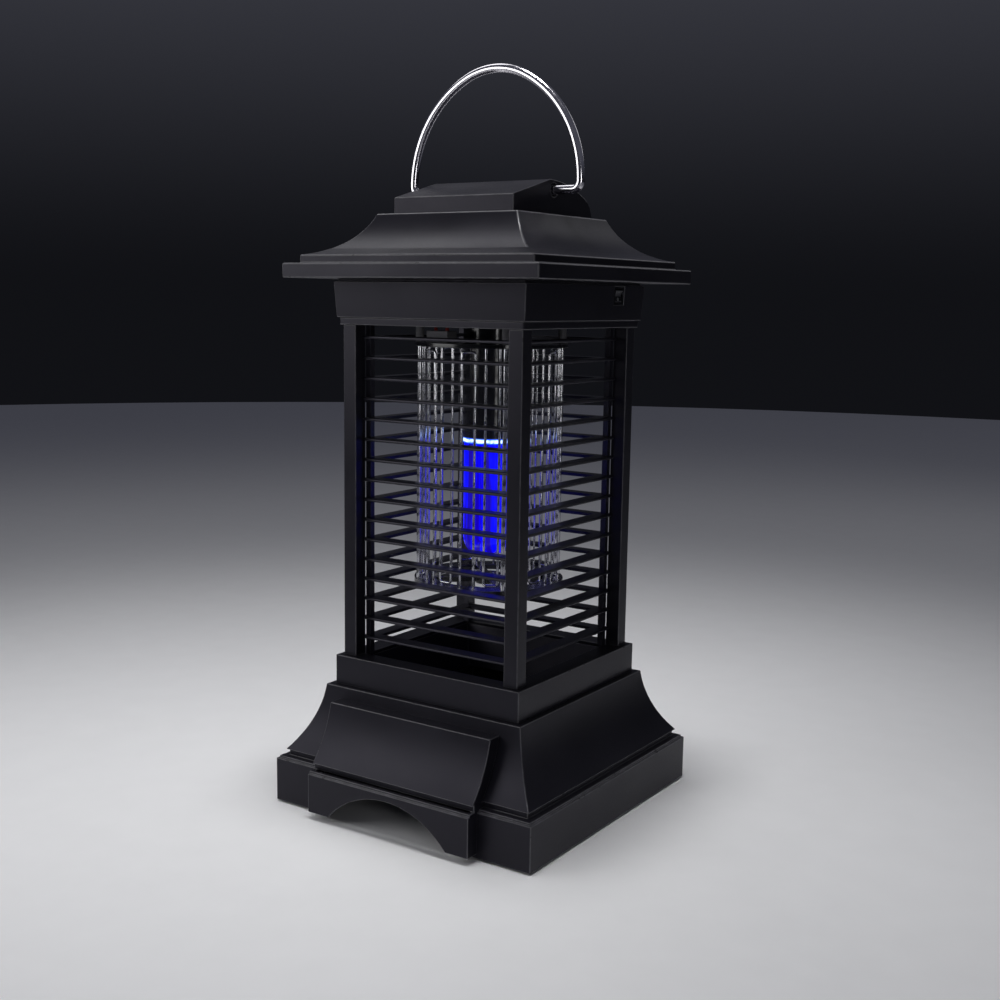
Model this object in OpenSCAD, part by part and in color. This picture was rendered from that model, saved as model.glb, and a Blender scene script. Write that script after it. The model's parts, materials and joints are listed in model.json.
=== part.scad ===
// Lantern-shaped electric insect killer. A louvred cage stands on a flared base with a
// pull-out debris tray. The head hangs an ultraviolet lamp inside a ring of wire hairpins,
// and a wire bail folds over the roof. Millimetres, +Z up, the tray faces -Y.

/* [Base] */
// Half of the square plinth's width
plinth_half = 90; // [88:0.5:95]
// Height of the plinth's top edge above the table
plinth_top = 27; // [26:0.5:28]
// Gap between the plinth's lower edge and the table
plinth_lift = 1; // [0.5:0.5:2]
// Half width of the flare at its foot
flare_foot_half = 86; // [85.5:0.5:87]
// Half width of the flare at its top
flare_top_half = 68.8; // [68:0.2:70]
// Height of the flare's foot above the table
flare_bottom = 32; // [31.5:0.5:33]
// Height of the flare's top above the table
flare_top = 71.4; // [70:0.2:73]
// Radius of the flare's concave side
flare_radius = 74.4; // [65:0.2:90]
// Half width of the upright collar above the flare
collar_half = 64.8; // [64.5:0.1:66]
// Height of the collar's top above the table
collar_top = 89; // [88:0.5:90]

/* [Tray] */
// Distance the tray's front stands proud of the base
tray_proud = 9.5; // [8:0.5:11]
// Half width of the tray's front
tray_front_half = 56.5; // [55:0.5:58]
// Height of the top of the tray's front
tray_front_top = 64.8; // [63:0.2:66]
// Radius of the finger arch under the tray's front
arch_radius = 55; // [50:1:60]
// Height of the finger arch
arch_height = 22.9; // [20:0.1:23.4]

/* [Cage] */
// Half width of the cage over its corner posts
cage_half = 61.3; // [61:0.1:62]
// Height of the cage's top above the table
cage_top = 283.4; // [280:0.2:286]
// Side of a square corner post
post_side = 9; // [8.5:0.5:9]
// Number of slats on each side
slat_count = 16; // [12:1:18]
// Height of the lowest slat
slat_first = 99.3; // [97:0.1:101]
// Distance between slats
slat_pitch = 11.8; // [9.5:0.1:11.8]
// Thickness of a slat
slat_thick = 1.8; // [1.4:0.1:2.4]
// Distance from the post's face back to the slats' noses
slat_setback = 7; // [6:0.5:7.5]

/* [Grid] */
// Radius of the ring of grid wires
grid_radius = 40.2; // [38:0.1:40.4]
// Number of wire hairpins round the ring
hairpin_count = 18; // [12:2:18]
// Angle between the two legs of one hairpin
hairpin_angle = 11.4; // [10:0.2:12]
// Angle of the first hairpin from +X
hairpin_phase = 25.7; // [20:0.1:32]
// Diameter of the grid wire
grid_wire_d = 1.5; // [1.2:0.1:1.8]

/* [Lamp] */
// Radius over the lamp's four tubes
lamp_radius = 15.8; // [14:0.2:16]
// Radius of one lamp tube
lamp_tube_r = 5.4; // [4.5:0.1:5.8]
// Height of the lamp's lowest point
lamp_bottom = 147; // [144:1:150]
// Height of the lamp's bright collar
lamp_top = 217; // [210:1:225]

/* [Head] */
// Half width of the ceiling plate's lip
lip_half = 62.9; // [62:0.1:63.4]
// Half width of the head band at its foot
band_foot_half = 64; // [63.5:0.1:64.5]
// Half width of the head band at its top
band_top_half = 65.3; // [65:0.1:66]
// Height of the head band's top
band_top = 307.8; // [306:0.2:308.5]
// Half width of the eave
eave_half = 85.7; // [84:0.1:88]
// Height of the eave's underside
eave_bottom = 309.3; // [309:0.1:310]
// Height of the eave's top edge
eave_top = 317.5; // [316.5:0.1:318.5]
// Half width of the step above the eave
step_half = 78.6; // [77:0.1:80]
// Height of the step's top edge
step_top = 322.2; // [321.5:0.1:323]
// Half width of the roof at its top
roof_top_half = 47.8; // [46:0.1:50]
// Height of the roof's top
roof_top = 345.9; // [344:0.1:348]
// Radius of the roof's concave side
roof_radius = 38.8; // [38:0.1:45]

/* [Bail] */
// Diameter of the bail's wire
bail_wire_d = 5; // [4:0.5:5.5]
// Half width of the bail at its wire's centre
bail_half = 57.7; // [56:0.1:60]
// Height of the bail's apex at its wire's centre
bail_apex = 428.8; // [425:0.1:435]
// Radius of the bail's top arc
bail_top_radius = 46.3; // [44:0.1:48]

/* [Hidden] */

$fn = 64;
wall = 2.5;
thin_wall = 1.8;
eps = 0.01;
beyond = 400;

black_plastic = [0.10, 0.10, 0.12];
grey_plastic = [0.55, 0.55, 0.56];
bright_steel = [0.80, 0.80, 0.82];
chrome_plate = [0.88, 0.88, 0.90];
lamp_blue = [0.15, 0.20, 1.00];

// Plinth levels between its top edge and the foot of the flare
deck_half = plinth_half - 8;
bead_half = plinth_half - 1.4;
bead_top = plinth_top + 1.4;
neck_half = flare_foot_half - 1.6;

// Base plate, its legs and its screws
plate_top = plinth_top - 3;
plate_thick = 2.8;
plate_bottom = plate_top - plate_thick;
leg_reach = 70;
leg_radius = 7;
leg_bottom = 2.4;
foot_radius = 8.5;
base_screw_r = 1.5;
base_screw_head_r = 3;
base_screw_seat = 12;
flare_boss_r = 4.5;

// Collar, its deck and the funnel inside it
deck_thick = 2.5;
deck_opening_half = 52;
flare_opening_half = 57;
funnel_top = collar_top - deck_thick;
funnel_flange = 2;
funnel_mouth_half = 46;
funnel_mouth_z = 60.6;
funnel_top_half = 54;

// Tray and the doorway it slides through
doorway_half = 52;
doorway_top = 60;
tray_lift = 4;
tray_skin = 2.5;
tray_gap = 0.4;
bin_half = 50.4;
bin_front = 77;
bin_back = 56;
bin_bottom = plate_top + 0.3;
bin_top = 58;
runner_gap = 0.4;
runner_width = 2.2;
runner_height = 9;
tray_boss_r = 4;
tray_boss_x = 34;
tray_boss_z = 41;
tray_screw_r = 1.4;
tray_screw_length = 9;
tray_screw_head_r = 2.8;
tray_screw_head_thick = 1.6;

// Posts, tie rods and slats
post_centre = cage_half - post_side / 2;
tie_rod_r = 1.5;
tie_head_r = 2.9;
tie_head_thick = 2.4;
slat_nose = cage_half - slat_setback;
slat_back = 45.6;
mitre_gap = 0.08;
stile_back = 48.6;
stile_front = cage_half - post_side - 0.15;

// Grid carriers and the rods that hold them
carrier_radius = 44.6;
carrier_rod_radius = 42.5;
carrier_rod_r = 1.3;
upper_carrier_z = 271.6;
upper_carrier_thick = 2.4;
lower_carrier_z = 131.4;
lower_carrier_thick = 3;
lower_carrier_top = lower_carrier_z + lower_carrier_thick;
lower_ring_inner = 33;
spoke_width = 5;
hub_radius = 8;
hairpin_clear = 2.2;
spacer_r = 2.4;
nut_r = 2.9;
nut_thick = 2.4;

// High-voltage terminal on the upper carrier and its two leads
terminal_place = [-16, -28];
terminal_size = [15, 9, 6.5];
lead_places = [[-12, -28], [-20, -28]];
lead_r = 1;

// Lamp
holder_radius = 16.7;
holder_bore = 17.2;
tube_ring = lamp_radius - lamp_tube_r;
tube_reach = tube_ring / sqrt(2);
tube_bend_z = lamp_bottom + lamp_tube_r + tube_reach;

// Head levels and inner parts
ceiling_top = cage_top + 4.1;
lip_corner = 1;
neck_ring_half = 63.4;
soffit_half = eave_half - wall - 0.2;
soffit_thick = 3;
soffit_opening_half = 58;
soffit_screw_reach = 73;
soffit_screw_r = 1.5;
soffit_screw_length = 5.2;
soffit_screw_head_r = 3;
soffit_screw_head_thick = 1.4;
soffit_screw_seat = eave_bottom + 1.6;

// Circuit board and its parts
board_z = 297;
board_size = [96, 34, 1.6];
board_middle_y = -38;
board_post_r = 3;
board_hole_r = 1.6;
board_hole_reach = [44, 13];
board_top = board_z + board_size.z;
relay_size = [14, 8, 11];
relay_x = -38;
capacitor_r = 4;
capacitor_height = 10;
capacitor_x = [6, 20, 34];
chip_size = [5, 3, 3];
chip_x = [8, 16, 24];

// Transformer: two bobbin flanges with the winding between them
bobbin_size = [20, 18, 3];
bobbin_x = -18;
winding_size = [14, 14, 12];

// Battery
cell_r = 9.1;
cell_length = 65;
cell_start = -44;
cell_y = [26.5, 45];
cell_button_r = 3;
cell_button_length = 1.2;
cradle_floor = 2;
cradle_wall = 2.5;
cradle_start_y = 15;
cradle_width = 41.5;

// Rocker switch in the +X face of the band
switch_y = 35;
switch_z = 301.8;
switch_hole = [11.6, 10.4];
switch_depth = 9.5;
switch_well = 4.5;
switch_bezel = 1.8;
rocker_size = [8, 7.4];
rocker_back = 2.4;
rocker_dish_r = 8;
rocker_dish_x = 9.3;
rocker_tilt = 7;
rocker_pin_r = 0.8;
rocker_pin_length = 10;
rocker_pivot_x = 62.6;

// Charging socket in the rear face of the band
socket_x = 44;
socket_z = 298;
socket_hole_r = 5;
socket_bore_r = 2.8;
socket_depth = 9;
socket_rim = 0.2;
socket_body_r = 6.5;
socket_pin_r = 0.9;

// Cap block and bail pivot
cap_half = 40.7;
cap_front = 41;
cap_back = 43;
cap_front_top = 355.2;
cap_ridge = [-3, 365.6];
cap_back_radius = 88;
cap_corner_radius = 14;
cap_corner_cross = 0.15;
cap_skin = 1.5;
cap_back_centre = [-cap_ridge.x, cap_ridge.y - cap_back_radius];
pivot_z = 359.9;
pivot_hole_r = 3.9;
bush_bore_r = bail_wire_d / 2 + 0.05;
bush_flange_r = 6;
bush_flange_thick = 1.6;
bail_bend = 4.5;
bail_end_x = 33;
bail_overlap = 0.5;

// Bail outline: a top arc, and shoulder arcs that stand upright where the bends start
shoulder_z = pivot_z + bail_bend;
shoulder_rise = bail_apex - bail_top_radius - shoulder_z;
shoulder_reach = bail_half - bail_top_radius;
shoulder_step = (pow(shoulder_rise, 2) + pow(shoulder_reach, 2)) / (2 * shoulder_reach);
shoulder_radius = bail_top_radius + shoulder_step;
bail_top_angle = acos(shoulder_rise / shoulder_step);

// Collars on the bail's ends, and the block's screws
collar_ring_r = 3.8;
collar_ring_thick = 2.5;
cap_screw_reach = 26;
cap_screw_y = -14;
cap_screw_r = 1.5;
cap_boss_r = 4;

// Centre of the arc of radius r through a and b, on the left of the way from b to a
function arc_centre(a, b, r) =
    let (d = b - a, l = norm(d)) (a + b) / 2 + [d.y, -d.x] * sqrt(r * r - l * l / 4) / l;

flare_centre = arc_centre([flare_foot_half, flare_bottom], [flare_top_half, flare_top],
    flare_radius);
roof_centre = arc_centre([step_half, step_top], [roof_top_half, roof_top], roof_radius);

// Stands the lantern's own axis over the middle of the footprint with the proud tray
module on_axis() translate([0, tray_proud / 2, 0]) children();

// Sweeps a side profile both ways, so that it meets itself in mitres at four corners
module four_sided() {
    intersection() {
        rotate([90, 0, 0]) linear_extrude(height = beyond, center = true) children();
        rotate([90, 0, 90]) linear_extrude(height = beyond, center = true) children();
    }
}

// Extrudes a profile of [distance towards -Y, height] along X
module along_x(length) {
    rotate([90, 0, -90]) linear_extrude(height = length, center = true) children();
}

module square_block(half, low, high) {
    translate([-half, -half, low]) cube([2 * half, 2 * half, high - low]);
}

module square_ring(outer, inner, low, high) {
    difference() {
        square_block(outer, low, high);
        square_block(inner, low - 1, high + 1);
    }
}

// Repeats a child at the four corners of a square
module at_corners(reach) {
    for (sx = [-1, 1], sy = [-1, 1]) translate([sx * reach, sy * reach, 0]) children();
}

module rod(r, low, high) translate([0, 0, low]) cylinder(r = r, h = high - low);

// A cylinder along X between two places
module rod_x(r, low, high) translate([low, 0, 0]) rotate([0, 90, 0]) cylinder(r = r, h = high - low);

module rounded_plate(half, corner, low, high) {
    translate([0, 0, low]) linear_extrude(height = high - low) {
        square([2 * half, 2 * (half - corner)], center = true);
        square([2 * (half - corner), 2 * half], center = true);
        for (sx = [-1, 1], sy = [-1, 1]) {
            translate([sx, sy] * (half - corner)) circle(r = corner);
        }
    }
}

// A straight-sided profile from one half width to another
module taper_profile(low_half, high_half, low, high) {
    polygon([[-low_half, low], [low_half, low], [high_half, high], [-high_half, high]]);
}

// A block's profile with a concave arc of the given centre cut from each side
module concave_profile(half, low, high, centre, radius) {
    difference() {
        translate([-half, low]) square([2 * half, high - low]);
        for (s = [-1, 1]) {
            translate([s * centre.x, centre.y]) circle(r = radius, $fn = 180);
        }
    }
}

// ---- Base ----

module rubber_feet() color([0.06, 0.06, 0.06]) on_axis() at_corners(leg_reach) {
    rod(foot_radius, 0, leg_bottom);
    rod(base_screw_head_r, leg_bottom - eps, leg_bottom + 3);
}

module tray_runners() {
    for (s = [-1, 1]) {
        inner = s > 0 ? bin_half + runner_gap : -bin_half - runner_gap - runner_width;
        translate([inner, -deck_half + 1, plate_top - eps]) {
            cube([runner_width, deck_half + bin_back, runner_height]);
        }
    }
}

module base_plate() color(black_plastic) on_axis() difference() {
    union() {
        square_block(plinth_half - 3.2, plate_bottom, plate_top);
        at_corners(leg_reach) rod(leg_radius, leg_bottom, plate_bottom + eps);
        tray_runners();
    }
    at_corners(leg_reach) {
        rod(base_screw_r + 0.2, 0, plate_top + 1);
        rod(base_screw_head_r + 0.3, 0, base_screw_seat);
    }
}

module base_screws() color(bright_steel) on_axis() at_corners(leg_reach) {
    rod(base_screw_head_r, base_screw_seat - 2.2, base_screw_seat);
    rod(base_screw_r, base_screw_seat - eps, plate_top + 14);
}

// The opening that the tray slides through, in both the plinth and the flare
module doorway(top) {
    translate([-doorway_half, -plinth_half - 1, 0]) cube([2 * doorway_half, 32, top]);
}

module plinth() color(black_plastic) on_axis() difference() {
    union() {
        square_ring(plinth_half, plinth_half - 3, plinth_lift, plinth_top);
        square_ring(plinth_half - 1, deck_half, plate_top, plinth_top);
        square_ring(bead_half, deck_half, plinth_top - eps, bead_top);
        square_ring(neck_half, deck_half, bead_top - eps, flare_bottom);
    }
    doorway(flare_bottom + 1);
}

// The flare's solid, with its sides moved in by a depth
module flare_body(depth, low, high) {
    four_sided() {
        concave_profile(flare_foot_half, low, high, flare_centre, flare_radius + depth);
    }
}

module base_flare() color(black_plastic) on_axis() difference() {
    union() {
        difference() {
            flare_body(0, flare_bottom, flare_top);
            flare_body(wall, flare_bottom - 1, flare_top - wall);
            square_block(flare_opening_half, flare_top - wall - 1, flare_top + 1);
        }
        intersection() {
            at_corners(leg_reach) rod(flare_boss_r, plate_top, flare_top);
            union() {
                flare_body(0.5, flare_bottom, flare_top - 1);
                square_block(deck_half - 0.5, plate_top, flare_bottom);
            }
        }
    }
    at_corners(leg_reach) rod(base_screw_r, plate_top - 1, plate_top + 15);
    doorway(doorway_top);
}

module cage_collar() color(black_plastic) on_axis() difference() {
    union() {
        square_ring(collar_half, collar_half - wall, flare_top, collar_top);
        square_ring(collar_half - 1, deck_opening_half, collar_top - deck_thick, collar_top);
    }
    at_corners(post_centre) rod(tie_rod_r + 0.3, flare_top, collar_top + 1);
}

module debris_funnel() color(black_plastic) on_axis() difference() {
    union() {
        square_block(collar_half - wall - 0.3, funnel_top - funnel_flange, funnel_top);
        four_sided() taper_profile(funnel_mouth_half + thin_wall, funnel_top_half + thin_wall,
            funnel_mouth_z, funnel_top - 1);
    }
    four_sided() taper_profile(funnel_mouth_half - 0.5, funnel_top_half - 1.6,
        funnel_mouth_z - 1, funnel_top + 1);
    at_corners(post_centre) rod(tie_head_r + 0.5, funnel_top - 4, funnel_top + 1);
}

// ---- Tray ----

// Side view of the base: plinth, bead, neck and flare, each moved out by a distance
module base_side(out, low, high) {
    intersection() {
        union() {
            square([plinth_half + out, plinth_top]);
            square([bead_half + out, bead_top]);
            square([neck_half + out, flare_bottom + eps]);
            translate([out, 0]) {
                concave_profile(flare_foot_half, flare_bottom, flare_top, flare_centre,
                    flare_radius);
            }
        }
        translate([0, low]) square([plinth_half + out + 1, high - low]);
    }
}

module tray_bosses() {
    for (s = [-1, 1]) {
        translate([s * tray_boss_x, -bin_front, tray_boss_z]) {
            rotate([90, 0, 0]) cylinder(r = tray_boss_r, h = 11);
        }
    }
}

// Two cylinders along the tray screws' axes, towards -Y
module tray_screw_rods(r, start, length) {
    for (s = [-1, 1]) {
        translate([s * tray_boss_x, -start, tray_boss_z]) {
            rotate([90, 0, 0]) cylinder(r = r, h = length);
        }
    }
}

module tray_front() color(black_plastic) on_axis() difference() {
    union() {
        difference() {
            along_x(2 * tray_front_half) difference() {
                base_side(tray_proud, tray_lift, tray_front_top);
                base_side(tray_gap, 0, flare_top);
            }
            along_x(2 * (tray_front_half - tray_skin)) {
                base_side(tray_proud - tray_skin, 0, tray_front_top - tray_skin);
            }
        }
        intersection() {
            tray_bosses();
            along_x(beyond) base_side(tray_proud - 1, tray_lift, tray_front_top);
        }
    }
    translate([0, 0, arch_height - arch_radius]) rotate([90, 0, 0]) {
        cylinder(r = arch_radius, h = beyond, $fn = 180);
    }
    tray_screw_rods(tray_screw_r, bin_front - 1, tray_screw_length);
}

module tray_bin() color(black_plastic) on_axis() difference() {
    translate([-bin_half, -bin_front, bin_bottom]) {
        difference() {
            cube([2 * bin_half, bin_front + bin_back, bin_top - bin_bottom]);
            translate([thin_wall, thin_wall, thin_wall]) {
                cube([2 * (bin_half - thin_wall), bin_front + bin_back - 2 * thin_wall, beyond]);
            }
        }
    }
    tray_screw_rods(tray_screw_r + 0.2, bin_front - 2 * thin_wall, 3 * thin_wall);
}

module tray_screws() color(bright_steel) on_axis() {
    head_start = bin_front - thin_wall - tray_screw_head_thick;
    tray_screw_rods(tray_screw_r, head_start, tray_screw_head_thick + tray_screw_length);
    tray_screw_rods(tray_screw_head_r, head_start, tray_screw_head_thick);
}

// ---- Cage ----

module corner_posts() color(black_plastic) on_axis() at_corners(post_centre) {
    difference() {
        square_block(post_side / 2, collar_top, cage_top);
        rod(tie_rod_r + 0.3, collar_top - 1, cage_top + 1);
    }
}

module tie_rods() color(bright_steel) on_axis() at_corners(post_centre) {
    rod(tie_rod_r, funnel_top - 1, ceiling_top + 1);
    rod(tie_head_r, funnel_top - tie_head_thick, funnel_top);
    translate([0, 0, ceiling_top]) cylinder(r = tie_head_r, h = tie_head_thick, $fn = 6);
}

// Plan of one louvre: straight in front of the posts' inner faces, mitred behind them
module louvre_plan() {
    side = cage_half - post_side - mitre_gap;
    polygon([[-side, -cage_half], [side, -cage_half], [side, -side - mitre_gap],
        [slat_back - mitre_gap, -slat_back], [mitre_gap - slat_back, -slat_back],
        [-side, -side - mitre_gap]]);
}

module slat_profiles() {
    nose_r = slat_thick / 2;
    for (i = [0 : slat_count - 1]) {
        translate([0, slat_first + i * slat_pitch]) {
            translate([slat_back, -nose_r]) square([slat_nose - nose_r - slat_back, slat_thick]);
            translate([slat_nose - nose_r, 0]) circle(r = nose_r);
        }
    }
}

module louvre_stiles() {
    for (s = [-1, 1]) {
        translate([s * (stile_front + stile_back) / 2, -(stile_front + stile_back) / 2, 0]) {
            square_block((stile_front - stile_back) / 2, collar_top, cage_top);
        }
    }
}

module louvre() {
    intersection() {
        translate([0, 0, collar_top]) {
            linear_extrude(height = cage_top - collar_top) louvre_plan();
        }
        union() {
            along_x(2 * cage_half) slat_profiles();
            louvre_stiles();
        }
    }
}

module louvre_front() color(black_plastic) on_axis() louvre();
module louvre_right() color(black_plastic) on_axis() rotate([0, 0, 90]) louvre();
module louvre_back() color(black_plastic) on_axis() rotate([0, 0, 180]) louvre();
module louvre_left() color(black_plastic) on_axis() rotate([0, 0, 270]) louvre();

// ---- Wire grid ----

module at_carrier_rods() {
    for (i = [0 : 3]) rotate([0, 0, 45 + 90 * i]) translate([carrier_rod_radius, 0, 0]) children();
}

module hairpin_legs(r, low, high) {
    for (s = [-1, 1]) {
        rotate([0, 0, s * hairpin_angle / 2]) translate([grid_radius, 0, 0]) rod(r, low, high);
    }
}

// Two legs between two heights, joined by a bar at a height
module hairpin(low, high, bar_z) {
    wire_r = grid_wire_d / 2;
    hairpin_legs(wire_r, low, high);
    translate([grid_radius * cos(hairpin_angle / 2), 0, bar_z]) rotate([90, 0, 0]) {
        cylinder(r = wire_r - 0.05, h = 2 * grid_radius * sin(hairpin_angle / 2), center = true);
    }
}

// Every second place for a hairpin, starting from the first or the second
module hairpin_places(first) {
    for (i = [first : 2 : hairpin_count - 1]) {
        rotate([0, 0, hairpin_phase + i * 360 / hairpin_count]) children();
    }
}

// Hangs from the upper carrier and stops short of the lower one
module live_grid() color(bright_steel) on_axis() hairpin_places(0) {
    hairpin(lower_carrier_top + hairpin_clear - grid_wire_d / 2, upper_carrier_z,
        lower_carrier_top + hairpin_clear);
}

// Stands on the lower carrier and stops short of the upper one
module return_grid() color(bright_steel) on_axis() hairpin_places(1) {
    hairpin(lower_carrier_top, upper_carrier_z - hairpin_clear + grid_wire_d / 2,
        upper_carrier_z - hairpin_clear);
}

module upper_carrier() color(black_plastic) on_axis() difference() {
    rod(carrier_radius, upper_carrier_z, upper_carrier_z + upper_carrier_thick);
    rod(holder_bore, upper_carrier_z - 1, upper_carrier_z + upper_carrier_thick + 1);
    at_carrier_rods() rod(carrier_rod_r + 0.1, upper_carrier_z - 1, cage_top);
}

module lower_carrier() color(black_plastic) on_axis() difference() {
    union() {
        difference() {
            rod(carrier_radius, lower_carrier_z, lower_carrier_top);
            rod(lower_ring_inner, lower_carrier_z - 1, lower_carrier_top + 1);
        }
        for (a = [45, 135]) rotate([0, 0, a]) {
            translate([-lower_ring_inner - 1, -spoke_width / 2, lower_carrier_z]) {
                cube([2 * lower_ring_inner + 2, spoke_width, lower_carrier_thick]);
            }
        }
        rod(hub_radius, lower_carrier_z - 1, lower_carrier_top + 1.5);
    }
    at_carrier_rods() rod(carrier_rod_r + 0.1, lower_carrier_z - 1, lower_carrier_top + 1);
}

module carrier_rods() color(bright_steel) on_axis() at_carrier_rods() {
    rod(carrier_rod_r, lower_carrier_z - nut_thick - 1, cage_top);
}

module rod_nuts() color(bright_steel) on_axis() at_carrier_rods() difference() {
    translate([0, 0, lower_carrier_z - nut_thick]) cylinder(r = nut_r, h = nut_thick, $fn = 6);
    rod(carrier_rod_r, lower_carrier_z - nut_thick - 1, lower_carrier_z + 1);
}

module carrier_spacers() color(grey_plastic) on_axis() at_carrier_rods() difference() {
    rod(spacer_r, upper_carrier_z + upper_carrier_thick, cage_top);
    rod(carrier_rod_r, upper_carrier_z, cage_top + 1);
}

module terminal_block() color(grey_plastic) on_axis() {
    translate([terminal_place.x, terminal_place.y, upper_carrier_z + upper_carrier_thick]) {
        translate([-terminal_size.x / 2, -terminal_size.y / 2, 0]) cube(terminal_size);
    }
}

module grid_leads() color([0.7, 0.1, 0.1]) on_axis() for (p = lead_places) {
    translate([p.x, p.y, 0]) {
        rod(lead_r, upper_carrier_z + upper_carrier_thick + terminal_size.z, ceiling_top + 6);
    }
}

// ---- Lamp ----

module lamp_holder() color([0.16, 0.16, 0.18]) on_axis() {
    rod(holder_radius, lamp_top + 1.5, cage_top);
    rod(holder_radius - 3, cage_top - eps, ceiling_top + 8);
}

module lamp_collar() color([0.75, 0.85, 1.0]) on_axis() {
    rod(holder_radius - 0.6, lamp_top - 1.8, lamp_top + 1.5);
}

module lamp_tubes() color(lamp_blue) on_axis() {
    for (s = [-1, 1]) translate([0, s * tube_reach, 0]) {
        for (t = [-1, 1]) {
            translate([t * tube_reach, 0, 0]) rod(lamp_tube_r, tube_bend_z, lamp_top - 1.8);
        }
        translate([0, 0, tube_bend_z]) rotate([-90, 0, 0]) {
            rotate_extrude(angle = 180) translate([tube_reach, 0]) circle(r = lamp_tube_r);
        }
    }
}

// ---- Head ----

module ceiling_plate() color(black_plastic) on_axis() difference() {
    rounded_plate(lip_half, lip_corner, cage_top, ceiling_top);
    rod(holder_radius - 3 + 0.2, cage_top - 1, ceiling_top + 1);
    at_corners(post_centre) rod(tie_rod_r + 0.3, cage_top - 1, ceiling_top + 1);
    for (p = lead_places) translate([p.x, p.y, 0]) rod(lead_r + 0.3, cage_top - 1, ceiling_top + 1);
}

module head_band() color(black_plastic) on_axis() difference() {
    union() {
        four_sided() taper_profile(band_foot_half, band_top_half, ceiling_top, band_top);
        square_block(neck_ring_half, band_top - eps, eave_bottom);
    }
    square_block(band_foot_half - wall, ceiling_top - 1, eave_bottom + 1);
    translate([band_foot_half - wall - 1, switch_y - switch_hole.x / 2,
        switch_z - switch_hole.y / 2]) {
        cube([wall + 4, switch_hole.x, switch_hole.y]);
    }
    translate([socket_x, band_foot_half + 4, socket_z]) {
        rotate([90, 0, 0]) cylinder(r = socket_hole_r, h = wall + 6);
    }
}

module soffit_plate() color(black_plastic) on_axis() difference() {
    square_ring(soffit_half, soffit_opening_half, eave_bottom, eave_bottom + soffit_thick);
    at_corners(soffit_screw_reach) {
        rod(soffit_screw_r + 0.2, eave_bottom - 1, eave_top);
        rod(soffit_screw_head_r + 0.3, eave_bottom - 1, soffit_screw_seat);
    }
}

module soffit_screws() color(bright_steel) on_axis() at_corners(soffit_screw_reach) {
    rod(soffit_screw_head_r, soffit_screw_seat - soffit_screw_head_thick, soffit_screw_seat);
    rod(soffit_screw_r, soffit_screw_seat - eps, soffit_screw_seat + soffit_screw_length);
}

module roof_cavity() {
    square_block(eave_half - wall, eave_bottom - 1, eave_top - wall);
    square_block(step_half - wall, eave_bottom, step_top - wall);
    four_sided() {
        concave_profile(step_half - wall, step_top - wall - 1, roof_top - wall, roof_centre,
            roof_radius + wall);
    }
}

module roof_shell() color(black_plastic) on_axis() difference() {
    union() {
        difference() {
            union() {
                square_block(eave_half, eave_bottom, eave_top);
                square_block(step_half, eave_top - eps, step_top);
                four_sided() {
                    concave_profile(step_half, step_top - eps, roof_top, roof_centre,
                        roof_radius);
                }
            }
            roof_cavity();
        }
        at_corners(soffit_screw_reach) {
            rod(soffit_screw_head_r + 0.5, eave_bottom + soffit_thick, eave_top - 1);
        }
    }
    at_corners(soffit_screw_reach) {
        rod(soffit_screw_r, eave_bottom, soffit_screw_seat + soffit_screw_length);
    }
    cap_screw_places() rod(cap_screw_r + 0.2, roof_top - wall - 1, roof_top + 1);
}

module cap_screw_places() {
    for (s = [-1, 1]) translate([s * cap_screw_reach, cap_screw_y, 0]) children();
}

// The round corner behind the long back, whose circle crosses the back's own just outside it
module cap_rear(inset) {
    x = cap_corner_radius - cap_back;
    reach = cap_back_radius - cap_corner_radius + cap_corner_cross;
    centre = [x, cap_back_centre.y + sqrt(pow(reach, 2) - pow(x - cap_back_centre.x, 2))];
    outside = cap_back_centre + 1.5 * (centre - cap_back_centre);
    translate(centre) circle(r = cap_corner_radius - inset, $fn = 96);
    polygon([cap_back_centre, [beyond, cap_back_centre.y], [beyond, outside.y], outside]);
}

// Side view of the cap block: a sloping front, a ridge, and a long round back
module cap_profile(inset) {
    half_length = (cap_front + cap_back) / 2 - inset;
    middle = (cap_front - cap_back) / 2;
    slope = (cap_ridge.y - cap_front_top) / (cap_ridge.x + cap_front);
    intersection() {
        translate([middle - half_length, roof_top - inset]) square([2 * half_length, 30]);
        translate(cap_back_centre) circle(r = cap_back_radius - inset, $fn = 180);
        cap_rear(inset);
        polygon([[-beyond, 0], [cap_front, 0], [cap_front, cap_front_top - inset],
            [-cap_ridge.x - beyond, cap_ridge.y - inset + slope * beyond]]);
    }
}

module cap_block() color(black_plastic) on_axis() difference() {
    union() {
        difference() {
            along_x(2 * cap_half) cap_profile(0);
            along_x(2 * (cap_half - wall)) cap_profile(cap_skin);
        }
        intersection() {
            cap_screw_places() rod(cap_boss_r, roof_top, cap_ridge.y);
            along_x(2 * cap_half) cap_profile(cap_skin / 2);
        }
    }
    translate([0, 0, pivot_z]) rod_x(pivot_hole_r, -cap_half - 1, cap_half + 1);
    cap_screw_places() rod(cap_screw_r, roof_top - 1, roof_top + 7);
}

module cap_screws() color(bright_steel) on_axis() cap_screw_places() {
    rod(2 * cap_screw_r, roof_top - wall - 2, roof_top - wall);
    rod(cap_screw_r, roof_top - wall - eps, roof_top + 6);
}

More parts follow.
